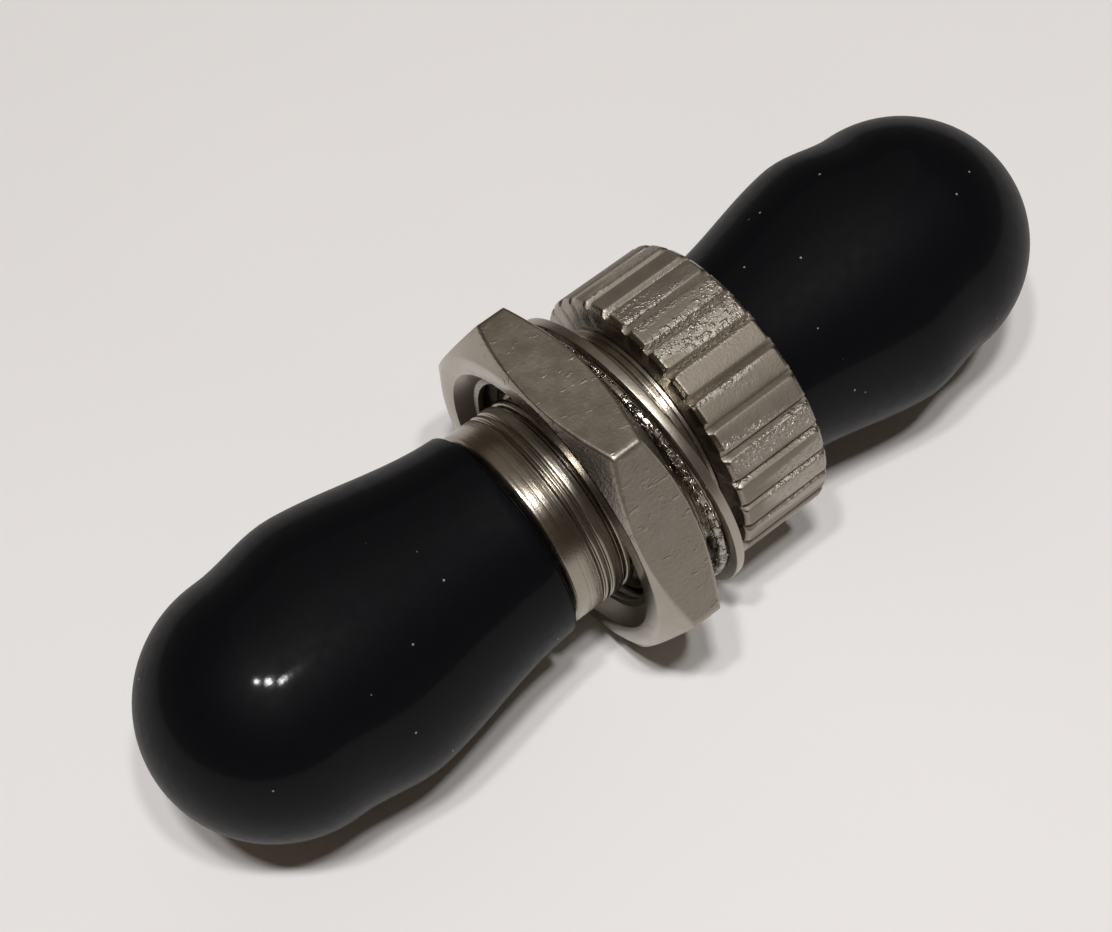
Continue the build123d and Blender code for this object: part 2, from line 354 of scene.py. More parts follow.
@dataclass(frozen=True)
class DippedVinyl:
    """Black plasticised vinyl, dip moulded on a polished pin.

    It is a deep black with a hazy sheen under a thin glossy skin, so lamps show as sharp glints
    and the floor only as a soft grey. It has a faint orange peel, lengthwise draw marks and a
    few pale dust specks.
    """

    name: str = "black_vinyl"
    colour: str = "06070B"
    dust: str = "8C8C90"
    ior: float = 1.53
    specular: float = 0.06
    roughness: float = 0.55
    roughness_spread: float = 0.08
    skin: float = 0.15
    skin_roughness: float = 0.1
    skin_ior: float = 1.5
    peel_mm: float = 0.45
    peel_depth_mm: float = 0.0025
    draw_mm: float = 0.4
    draw_depth_mm: float = 0.0022
    draw_squeeze: Triple = (0.06, 1.0, 1.0)
    dust_cell_mm: float = 1.1
    dust_share: float = 0.05
    dust_core: float = 0.6

    def build(self) -> Material:
        """Build the material.

        Returns:
            A node material with orange peel, draw marks and dust specks.
        """
        material, tree, place = empty_material(self.name)
        peel = add_node(tree, "ShaderNodeTexNoise", {
            "Scale": per_metre(self.peel_mm), "Detail": 2.0, "Roughness": 0.5,
        }, {"Vector": place}).outputs["Fac"]
        skin = add_node(tree, "ShaderNodeBump", {
            "Distance": self.peel_depth_mm * MM,
        }, {"Height": peel})
        stretched = add_node(tree, "ShaderNodeMapping", {
            "Scale": self.draw_squeeze,
        }, {"Vector": place})
        draw = add_node(tree, "ShaderNodeTexNoise", {
            "Scale": per_metre(self.draw_mm), "Detail": 4.0, "Roughness": 0.6,
        }, {"Vector": stretched.outputs[0]})
        marks = add_node(tree, "ShaderNodeBump", {
            "Distance": self.draw_depth_mm * MM,
        }, {"Height": draw.outputs["Fac"], "Normal": skin.outputs[0]}).outputs[0]
        gloss = add_node(tree, "ShaderNodeMapRange", {
            "From Min": 0.3, "From Max": 0.7,
            "To Min": self.roughness - self.roughness_spread / 2,
            "To Max": self.roughness + self.roughness_spread / 2,
        }, {"Value": peel})
        cells = add_node(tree, "ShaderNodeTexVoronoi", {
            "Scale": per_metre(self.dust_cell_mm),
        }, {"Vector": place})
        speck = add_node(tree, "ShaderNodeMapRange", {
            "From Min": self.dust_share * self.dust_core, "From Max": self.dust_share,
            "To Min": 1.0, "To Max": 0.0,
        }, {"Value": cells.outputs["Distance"]})
        colour = add_node(tree, "ShaderNodeMix", {
            "data_type": "RGBA", 6: linear(self.colour), 7: linear(self.dust),
        }, {0: speck.outputs[0]})
        shader = add_node(tree, "ShaderNodeBsdfPrincipled", {
            "IOR": self.ior, "Specular IOR Level": self.specular, "Coat Weight": self.skin,
            "Coat Roughness": self.skin_roughness, "Coat IOR": self.skin_ior,
        }, {
            "Base Color": colour.outputs[2], "Roughness": gloss.outputs[0],
            "Normal": marks, "Coat Normal": marks,
        })
        add_node(tree, "ShaderNodeOutputMaterial", {}, {"Surface": shader.outputs[0]})
        return material


@dataclass(frozen=True)
class CloudedSurface:
    """Plain smooth surface with faint clouds of a second shade; the finishes below set it."""

    name: str
    colour: str
    shade: str
    ior: float
    roughness: float
    cloud_mm: float
    cloud_detail: float

    def build(self) -> Material:
        """Build the material.

        Returns:
            A node material with faint cloudy shading.
        """
        material, tree, place = empty_material(self.name)
        cloud = add_node(tree, "ShaderNodeTexNoise", {
            "Scale": per_metre(self.cloud_mm), "Detail": self.cloud_detail,
        }, {"Vector": place})
        colour = add_node(tree, "ShaderNodeMix", {
            "data_type": "RGBA", 6: linear(self.shade), 7: linear(self.colour),
        }, {0: cloud.outputs["Fac"]})
        shader = add_node(tree, "ShaderNodeBsdfPrincipled", {
            "IOR": self.ior, "Roughness": self.roughness,
        }, {"Base Color": colour.outputs[2]})
        add_node(tree, "ShaderNodeOutputMaterial", {}, {"Surface": shader.outputs[0]})
        return material


@dataclass(frozen=True)
class Zirconia(CloudedSurface):
    """Sintered and polished zirconia ceramic: a dense warm white with a glassy gloss."""

    name: str = "zirconia"
    colour: str = "F1EEE4"
    shade: str = "E2DDCF"
    ior: float = 2.15
    roughness: float = 0.14
    cloud_mm: float = 2.0
    cloud_detail: float = 3.0


@dataclass(frozen=True)
class PaintedFloor(CloudedSurface):
    """Matt white painted board under the part, with a barely visible unevenness."""

    name: str = "pale_floor"
    colour: str = "F2F2F1"
    shade: str = "ECECEB"
    ior: float = 1.5
    roughness: float = 0.7
    cloud_mm: float = 30.0
    cloud_detail: float = 2.0


# Mesh helpers


def add_object(name: str, data: bpy.types.ID) -> Piece:
    """Put a mesh, lamp or camera into the scene.

    Args:
        name: Name of the object.
        data: The mesh, lamp or camera.

    Returns:
        The object.
    """
    item = bpy.data.objects.new(name, data)
    bpy.context.scene.collection.objects.link(item)
    return item


def loop_at(x: float, radius_at: Callable[[float], float], segments: int) -> Loop:
    """Closed loop of points round the X axis.

    Args:
        x: Station along the axis in mm.
        radius_at: Radius in mm for an angle in radians from +Y towards +Z.
        segments: Number of points.

    Returns:
        The loop in metres.
    """
    points = []
    for index in range(segments):
        angle = TURN * index / segments
        radius = radius_at(angle)
        points.append(Vector((x, radius * math.cos(angle), radius * math.sin(angle))) * MM)
    return points


def round_loops(outline: Outline, segments: int) -> list[Loop]:
    """Circular loop at each point (x, radius) of an outline."""
    return [loop_at(x, lambda _, r=radius: r, segments) for x, radius in outline]


def object_from_loops(name: str, loops: list[Loop], closed: bool) -> Piece:
    """Skin a list of loops with quads.

    Args:
        name: Name of the object.
        loops: Loops of equal length, in order.
        closed: True joins the last loop to the first; False closes both ends with fans.

    Returns:
        The object, smooth shaded, with its normals facing out.
    """
    count = len(loops[0])
    vertices = [tuple(point) for loop in loops for point in loop]
    faces = []
    spans = len(loops) if closed else len(loops) - 1
    for row in range(spans):
        here = row * count
        there = ((row + 1) % len(loops)) * count
        for index in range(count):
            after = (index + 1) % count
            faces.append((here + index, here + after, there + after, there + index))
    if not closed:
        for first in (0, (len(loops) - 1) * count):
            centre = sum((Vector(vertices[first + k]) for k in range(count)), Vector()) / count
            vertices.append(tuple(centre))
            for index in range(count):
                faces.append((first + index, first + (index + 1) % count, len(vertices) - 1))
    mesh = bpy.data.meshes.new(name)
    mesh.from_pydata(vertices, [], faces)
    tidy = bmesh.new()
    tidy.from_mesh(mesh)
    bmesh.ops.recalc_face_normals(tidy, faces=tidy.faces)
    tidy.to_mesh(mesh)
    tidy.free()
    mesh.shade_smooth()
    return add_object(name, mesh)


def weigh_normals(piece: Piece) -> None:
    """Let large faces set the shading at their edges, so flats look flat.

    Args:
        piece: Object with smooth shading.
    """
    modifier = piece.modifiers.new("weighted_normals", "WEIGHTED_NORMAL")
    modifier.weight = 90
    modifier.keep_sharp = True


def sharpen(piece: Piece, degrees: float) -> None:
    """Shade the edges that turn by more than some degrees as sharp."""
    piece.data.set_sharp_from_angle(angle=math.radians(degrees))


def softened(outline: Outline, radius: float = EDGE_ROUNDING, steps: int = EDGE_STEPS) -> Outline:
    """Round every corner of a closed outline.

    Args:
        outline: Corner points (x, radius) in mm, in order round the section.
        radius: How far from the corner the rounding starts, in mm.
        steps: Number of chords in each rounded corner.

    Returns:
        The outline with each corner as a short curve.
    """
    most = 0.45
    result = []
    for index, corner in enumerate(outline):
        here = Vector(corner)
        before = Vector(outline[index - 1]) - here
        after = Vector(outline[(index + 1) % len(outline)]) - here
        start = here + before.normalized() * min(radius, before.length * most)
        end = here + after.normalized() * min(radius, after.length * most)
        for step in range(steps + 1):
            t = step / steps
            point = start * (1 - t) ** 2 + here * (2 * t * (1 - t)) + end * t ** 2
            result.append((point.x, point.y))
    return result


def lathe(name: str, outline: Outline, segments: int) -> Piece:
    """Turn a closed outline about the X axis.

    Args:
        name: Name of the object.
        outline: Points (x, radius) in mm, in order round the section.
        segments: Number of steps in a full turn.

    Returns:
        The turned object.
    """
    return object_from_loops(name, round_loops(outline, segments), closed=True)


def mirrored(outline: Outline) -> Outline:
    """The same outline, pointing the other way along X."""
    return [(-x, radius) for x, radius in reversed(outline)]


def soft_min(a: float, b: float, blend: float) -> float:
    """Smaller of two values, with the change-over rounded.

    Args:
        a: First value.
        b: Second value.
        blend: Difference over which the two are blended.

    Returns:
        The blended smaller value.
    """
    share = max(blend - abs(a - b), 0.0) / blend
    return min(a, b) - share * share * blend / 4


def ease(t: float) -> float:
    """Smooth step from 0 to 1."""
    t = min(max(t, 0.0), 1.0)
    return t * t * (3 - 2 * t)


def boolean(piece: Piece, tool: Piece, operation: str) -> None:
    """Cut or join a tool into a piece, and delete the tool.

    Args:
        piece: Object that is changed.
        tool: Object that cuts or is added.
        operation: "DIFFERENCE" or "UNION".
    """
    modifier = piece.modifiers.new("cut", "BOOLEAN")
    modifier.operation = operation
    modifier.object = tool
    modifier.solver = "EXACT"
    graph = bpy.context.evaluated_depsgraph_get()
    mesh = bpy.data.meshes.new_from_object(piece.evaluated_get(graph))
    piece.modifiers.clear()
    piece.data = mesh
    bpy.data.objects.remove(tool)
    sharpen(piece, 35)


def put_on(piece: Piece, material: Material, slot: str, body: str, *nodes: str) -> None:
    """Dress a piece and tie it to the frame.

    Args:
        piece: The object.
        material: Its finish.
        slot: Name of a material slot; not used.
        body: Body that it rides on.
        nodes: Nodes that it stands for.
    """
    piece.data.materials.clear()
    piece.data.materials.append(material)
    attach(piece, body)
    if nodes:
        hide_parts(*nodes)
    log.info("%s rides on %s", piece.name, body)


@dataclass(frozen=True)
class Helix:
    """One helical thread ridge, cut or formed on a cylinder about X."""

    start: float
    end: float
    core_r: float
    crest_r: float
    pitch: float
    phase: float
    crest_flat: float = 0.125
    root_width: float = 0.86
    root_sink: float = 0.06
    fade_turns: float = 0.25
    steps: int = 72

    def build(self, name: str) -> Piece:
        """Sweep the ridge section along the helix, fading in and out at its ends.

        Args:
            name: Name of the object.

        Returns:
            The ridge as a closed mesh.
        """
        turns = (self.end - self.start) / self.pitch
        sunk = self.core_r + math.copysign(self.root_sink, self.core_r - self.crest_r)
        half_root = self.pitch * self.root_width / 2
        half_crest = self.pitch * self.crest_flat / 2
        half_middle = (half_root + half_crest) / 2
        loops = []
        for index in range(int(turns * self.steps) + 1):
            turn = index / self.steps
            fade = ease(min(turn, turns - turn) / self.fade_turns)
            crest = self.core_r + (self.crest_r - self.core_r) * fade
            middle = (self.core_r + crest) / 2
            rising = [
                (-half_root, sunk), (-half_root, self.core_r),
                (-half_middle, middle), (-half_crest, crest),
            ]
            angle = TURN * (turn + self.phase)
            x = self.start + turn * self.pitch
            loops.append([
                Vector((x + dx, r * math.cos(angle), r * math.sin(angle))) * MM
                for dx, r in rising + mirrored(rising)
            ])
        piece = object_from_loops(name, loops, closed=False)
        sharpen(piece, 40)
        return piece


# Sub-assemblies


@dataclass
class PortBarrel:
    """Bayonet port as both bodies have it, in mm from the middle of the adapter."""

    end: float = 14.5
    outer_r: float = 3.95
    inner_r: float = 3.0
    edge: float = 0.25
    lug_x: float = 12.55
    lug_tip_r: float = 4.85
    lug_diameter: float = 1.6
    lug_sink: float = 0.4
    lug_angle: float = math.radians(30)
    keyway_width: float = 2.1
    keyway_length: float = 4.6
    cutter_margin: float = 1.0
    bar_rounding: float = 0.12
    bar_segments: int = 32

    def mouth(self) -> Outline:
        """Section of the port's open end, from the outside in, pointing towards +X."""
        return [
            (self.end - self.edge, self.outer_r), (self.end, self.outer_r - self.edge),
            (self.end, self.inner_r + self.edge), (self.end - self.edge, self.inner_r),
        ]

    def fit(self, piece: Piece, end: End) -> None:
        """Cut the keyway into a body and add its two lugs.

        Args:
            piece: The turned body.
            end: Which end of the adapter the port is at.
        """
        side = end.value
        lug_foot = self.outer_r - self.lug_sink
        slot_start = self.end - self.keyway_length + self.keyway_width / 2
        slot = self._bar("slot", self.keyway_width / 2, 0.0, self.outer_r + self.cutter_margin)
        reach = self.end + self.cutter_margin - slot_start
        for vertex in slot.data.vertices:
            if vertex.co.x > 0:
                vertex.co.x += reach * MM
            vertex.co.x += slot_start * MM
            vertex.co.x *= side
        slot.data.transform(Matrix.Rotation(self.lug_angle, 4, "X"))
        if end is End.FRONT:
            slot.data.flip_normals()
        boolean(piece, slot, "DIFFERENCE")
        for half in (0.0, math.pi):
            lug = self._bar("lug", self.lug_diameter / 2, lug_foot, self.lug_tip_r)
            lug.data.transform(Matrix.Rotation(self.lug_angle - math.pi / 2 + half, 4, "X"))
            lug.data.transform(Matrix.Translation((side * self.lug_x * MM, 0, 0)))
            boolean(piece, lug, "UNION")

    def _bar(self, name: str, radius: float, low: float, high: float) -> Piece:
        """Round bar along +Z with a slightly rounded top.

        Args:
            name: Name of the object.
            radius: Radius of the bar in mm.
            low: Where it starts in mm.
            high: Where it ends in mm.

        Returns:
            The bar.
        """
        full = self.bar_rounding
        part = full * 0.3
        rows = [
            (low, radius), (high - full, radius),
            (high - part, radius - part), (high, radius - full),
        ]
        ring = [TURN * (k + 0.5) / self.bar_segments for k in range(self.bar_segments)]
        loops = [
            [Vector((r * math.cos(a), r * math.sin(a), z)) * MM for a in ring] for z, r in rows
        ]
        return object_from_loops(name, loops, closed=False)


@dataclass
class FrontBody:
    """Front body: port, grooved barrel, thread and spigot, turned from one bar."""

    port: PortBarrel = field(default_factory=PortBarrel)
    web_end: float = 4.0
    holder_r: float = 2.2
    spigot_end: float = 4.6
    spigot_r: float = 4.0
    collar_front: float = 1.8
    thread_front: float = -2.35
    lead_in: float = 0.6
    thread_core_r: float = 4.89
    thread_crest_r: float = 5.5
    thread_phase: float = 0.5
    pitch: float = 1.0
    barrel_r: float = 4.4
    relief_width: float = 1.1
    relief_r: float = 4.875
    shoulder: float = -5.3
    bevel: float = 0.25
    recess_width: float = 0.25
    recess_depth: float = 0.5
    # How far back from the band's edge, and how far under the barrel, in mm.
    band_edge: tuple[tuple[float, float], ...] = (
        (0.0, 0.2), (0.03, 0.1), (0.09, 0.02), (0.14, 0.0),
    )
    undercut_from_shoulder: float = 2.36
    undercut_width: float = 0.22
    undercut_depth: float = 0.24
    last_band_drop: float = 0.04
    fine_grooves: tuple[float, ...] = (1.4, 1.74)
    fine_width: float = 0.14
    fine_depth: float = 0.1
    # Ends of a groove's floor, as shares of its width.
    groove_floor: tuple[float, float] = (0.72, 0.28)
    neck_lines: tuple[float, ...] = (0.14, 0.42, 0.66)
    neck_line_width: float = 0.12
    neck_line_depth: float = 0.02
    segments: int = 192

    def outline(self) -> Outline:
        """Closed section of the body.

        Returns:
            Points (x, radius) in mm, from the spigot round the outside and back through the bore.
        """
        grooves = [
            (self.shoulder + at, self.fine_width, self.fine_depth, 0.0) for at in self.fine_grooves
        ]
        undercut = self.shoulder + self.undercut_from_shoulder
        grooves.append((undercut, self.undercut_width, self.undercut_depth, self.last_band_drop))
        points = [
            (self.spigot_end, self.port.inner_r), (self.spigot_end, self.spigot_r),
            (self.collar_front, self.spigot_r), (self.collar_front, self.relief_r),
        ]
        for at in self.neck_lines:
            start = self.collar_front - at
            points += [
                (start, self.relief_r),
                (start - self.neck_line_width / 2, self.relief_r - self.neck_line_depth),
                (start - self.neck_line_width, self.relief_r),
            ]
        thread_start = self.thread_front + self.lead_in
        points += [
            (self.collar_front - self.relief_width, self.relief_r),
            (self.collar_front - self.relief_width, self.thread_core_r),
            (thread_start, self.thread_core_r),
            (thread_start - self.recess_width, self.thread_core_r - self.recess_depth),
            (thread_start - self.recess_width, self.barrel_r - self.band_edge[0][1]),
        ]
        for back, drop in self.band_edge:
            points.append((self.thread_front - back, self.barrel_r - drop))
        for start, width, depth, rim_drop in reversed(grooves):
            floor = [(start + width * share, self.barrel_r - depth) for share in self.groove_floor]
            points += [(start + width, self.barrel_r - rim_drop), *floor, (start, self.barrel_r)]
        points += [
            (self.shoulder + self.bevel, self.barrel_r),
            (self.shoulder, self.barrel_r - self.bevel),
            (self.shoulder, self.port.outer_r),
        ]
        points += [(-x, radius) for x, radius in self.port.mouth()]
        points += [
            (-self.web_end, self.port.inner_r), (-self.web_end, self.holder_r),
            (self.web_end, self.holder_r), (self.web_end, self.port.inner_r),
        ]
        return softened(points)

    def build(self, finish: Material) -> None:
        """Make the body and its thread, and dress them.

        Args:
            finish: Plated finish of turned metal.
        """
        body = lathe("front_body_turned", self.outline(), self.segments)
        self.port.fit(body, End.FRONT)
        weigh_normals(body)
        put_on(body, finish, "nickel_plate", "adapter", "front_body")
        thread = Helix(
            self.thread_front + self.lead_in, self.collar_front - self.relief_width,
            self.thread_core_r, self.thread_crest_r, self.pitch, self.thread_phase,
        ).build("front_body_thread")
        put_on(thread, finish, "nickel_plate", "adapter")


@dataclass
class RearBody:
    """Rear body: ribbed collar and rear port in one piece."""

    port: PortBarrel = field(default_factory=PortBarrel)
    collar_front: float = 1.8
    collar_rear: float = 6.0
    collar_r: float = 6.2
    bevel: float = 0.15
    bevel_blend: float = 0.08
    rib_count: int = 30
    groove_depth: float = 0.25
    # Least and greatest depth of a groove, as shares of groove_depth.
    groove_spread: tuple[float, float] = (0.82, 1.12)
    groove_half_width: float = 0.18
    shoulder_drop: float = 0.05
    shoulder_half_width: float = 0.42
    corner_reach: float = 0.35
    corner_widening: float = 0.24
    # Distances of the loops from each end of the collar, in mm.
    end_stations: tuple[float, ...] = (
        0.0, 0.02, 0.04, 0.07, 0.1, 0.14, 0.18, 0.22, 0.27, 0.33, 0.4, 0.6,
    )
    middle_spans: int = 8
    face_ring: float = 0.6
    joint_sink: float = 0.2
    port_overlap: float = 0.5
    port_wall: float = 0.25
    spigot_end: float = 4.6
    samples_per_rib: int = 34
    port_segments: int = 160
    seed: int = 7

    def groove_at(self, angle: float, reach: float, wobble: list[float]) -> float:
        """Depth of the V grooves at an angle, with the ribs' rounded shoulders and flared ends.

        Args:
            angle: Angle about the axis in radians.
            reach: Distance from the nearer end of the collar in mm.
            wobble: Depth factor of each groove.

        Returns:
            How far the surface lies under the rib tops, in mm.
        """
        pitch = TURN / self.rib_count
        index = round(angle / pitch)
        off = abs(angle - index * pitch) * self.collar_r
        depth = self.groove_depth * wobble[index % self.rib_count]
        flare = max(0.0, 1 - reach / self.corner_reach)
        half_width = self.groove_half_width + self.corner_widening * flare * flare
        shoulder = max(0.0, 1 - off / self.shoulder_half_width)
        return depth * max(0.0, 1 - off / half_width) + self.shoulder_drop * shoulder * shoulder

    def collar(self) -> Piece:
        """Ribbed collar with bevelled ends, bored for the spigot.

        Returns:
            The collar as one closed mesh.
        """
        rng = random.Random(self.seed)
        wobble = [rng.uniform(*self.groove_spread) for _ in range(self.rib_count)]
        segments = self.rib_count * self.samples_per_rib
        loops = []
        for x in self._stations():
            reach = min(x - self.collar_front, self.collar_rear - x)
            ceiling = self.collar_r - self.bevel + reach

            def radius(angle: float, reach: float = reach, ceiling: float = ceiling) -> float:
                """Radius of the ribs, held under the bevel."""
                top = self.collar_r - self.groove_at(angle, reach, wobble)
                return soft_min(top, ceiling, self.bevel_blend)

            loops.append(loop_at(x, radius, segments))
        face_r = self.port.outer_r + self.face_ring
        bore_r = self.port.outer_r - self.joint_sink
        loops += round_loops([
            (self.collar_rear, face_r), (self.collar_rear, bore_r),
            (self.collar_rear - self.face_ring, bore_r),
            (self.collar_front, bore_r), (self.collar_front, face_r),
        ], segments)
        return object_from_loops("rear_body_collar", loops, closed=True)

    def _stations(self) -> list[float]:
        """Stations of the collar's loops, close together at its ends."""
        near = list(self.end_stations)
        length = self.collar_rear - self.collar_front
        span = (length - 2 * near[-1]) / self.middle_spans
        middle = [near[-1] + span * k for k in range(1, self.middle_spans)]
        offsets = near + middle + [length - n for n in reversed(near)]
        return [self.collar_front + offset for offset in offsets]

    def build(self, cast: Material, turned: Material) -> None:
        """Make the collar and the port, and dress them.

        Args:
            cast: Grainy plated finish of the ribs.
            turned: Plated finish of the port.
        """
        collar = self.collar()
        sharpen(collar, 50)
        put_on(collar, cast, "nickel_plate", "adapter", "rear_body")
        joint_x = self.collar_rear - self.port_overlap
        joint_r = self.port.outer_r - self.port_wall
        outline = [(joint_x, joint_r), (joint_x, self.port.outer_r)]
        outline += self.port.mouth()
        outline += [(self.spigot_end, self.port.inner_r), (self.spigot_end, joint_r)]
        port = lathe("rear_body_port", softened(outline), self.port_segments)
        self.port.fit(port, End.REAR)
        weigh_normals(port)
        put_on(port, turned, "nickel_plate", "adapter", "rear_body")


@dataclass
class SleeveSet:
    """Split ceramic sleeve and the two flanged bushes that trap it."""

    sleeve_r: float = 1.6
    bore_r: float = 1.25
    half_length: float = 5.7
    sleeve_edge: float = 0.05
    slit: float = 0.5
    arc_steps: int = 72
    holder_r: float = 2.2
    holder_gap: float = 0.05
    holder_edge: float = 0.05
    holder_segments: int = 96
    chamber_r: float = 1.68
    end_float: float = 0.1
    web_end: float = 4.0
    flange: float = 0.5
    flange_r: float = 2.7
    lip: float = 0.5
    mouth_r: float = 1.45
    flare: float = 0.3

    def sleeve(self) -> Piece:
        """Tube with a lengthwise slit at the top.

        Returns:
            The sleeve as one closed mesh.
        """
        half_slit = self.slit / 2 / self.sleeve_r
        step = (TURN - 2 * half_slit) / self.arc_steps
        arc = [math.pi / 2 + half_slit + step * k for k in range(self.arc_steps + 1)]
        section = [(self.sleeve_r, a) for a in arc] + [(self.bore_r, a) for a in reversed(arc)]
        loops = []
        for x, inset in (
            (-self.half_length, self.sleeve_edge), (self.sleeve_edge - self.half_length, 0.0),
            (self.half_length - self.sleeve_edge, 0.0), (self.half_length, self.sleeve_edge),
        ):
            loop = []
            for r, a in section:
                drawn = r - inset if r == self.sleeve_r else r + inset
                loop.append(Vector((x, drawn * math.cos(a), drawn * math.sin(a))) * MM)
            loops.append(loop)
        count = len(section)
        piece = object_from_loops("alignment_sleeve_split", loops, closed=False)
        shape = bmesh.new()
        shape.from_mesh(piece.data)
        fans = [v for v in shape.verts if v.index >= len(loops) * count]
        bmesh.ops.delete(shape, geom=fans, context="VERTS")
        shape.verts.ensure_lookup_table()
        for first in (0, (len(loops) - 1) * count):
            last = first + count - 1
            for k in range(count // 2 - 1):
                corners = (first + k, first + k + 1, last - k - 1, last - k)
                shape.faces.new([shape.verts[c] for c in corners])
        bmesh.ops.recalc_face_normals(shape, faces=shape.faces)
        shape.to_mesh(piece.data)
        shape.free()
        sharpen(piece, 35)
        return piece

    def holder(self, end: End) -> Piece:
        """Flanged bush of one side.

        Args:
            end: Side of the adapter.

        Returns:
            The bush.
        """
        chamber_end = self.half_length + self.end_float
        flange_end = self.web_end + self.flange
        tip = chamber_end + self.lip
        outline = [
            (self.holder_gap, self.chamber_r), (self.holder_gap, self.holder_r),
            (self.web_end, self.holder_r), (self.web_end, self.flange_r),
            (flange_end, self.flange_r), (flange_end, self.holder_r), (tip, self.holder_r),
            (tip, self.mouth_r + self.flare), (tip - self.flare, self.mouth_r),
            (chamber_end, self.mouth_r), (chamber_end, self.chamber_r),
        ]
        if end is End.FRONT:
            outline = mirrored(outline)
        name = f"{end.name.lower()}_sleeve_holder_bush"
        piece = lathe(name, softened(outline, self.holder_edge), self.holder_segments)
        weigh_normals(piece)
        return piece

    def build(self, ceramic: Material, plated: Material) -> None:
        """Make and dress the sleeve and both bushes.

        Args:
            ceramic: Finish of the sleeve.
            plated: Finish of the bushes.
        """
        put_on(self.sleeve(), ceramic, "zirconia", "adapter", "alignment_sleeve")
        for end in End:
            node = f"{end.name.lower()}_sleeve_holder"
            put_on(self.holder(end), plated, "nickel_plate", "adapter", node)


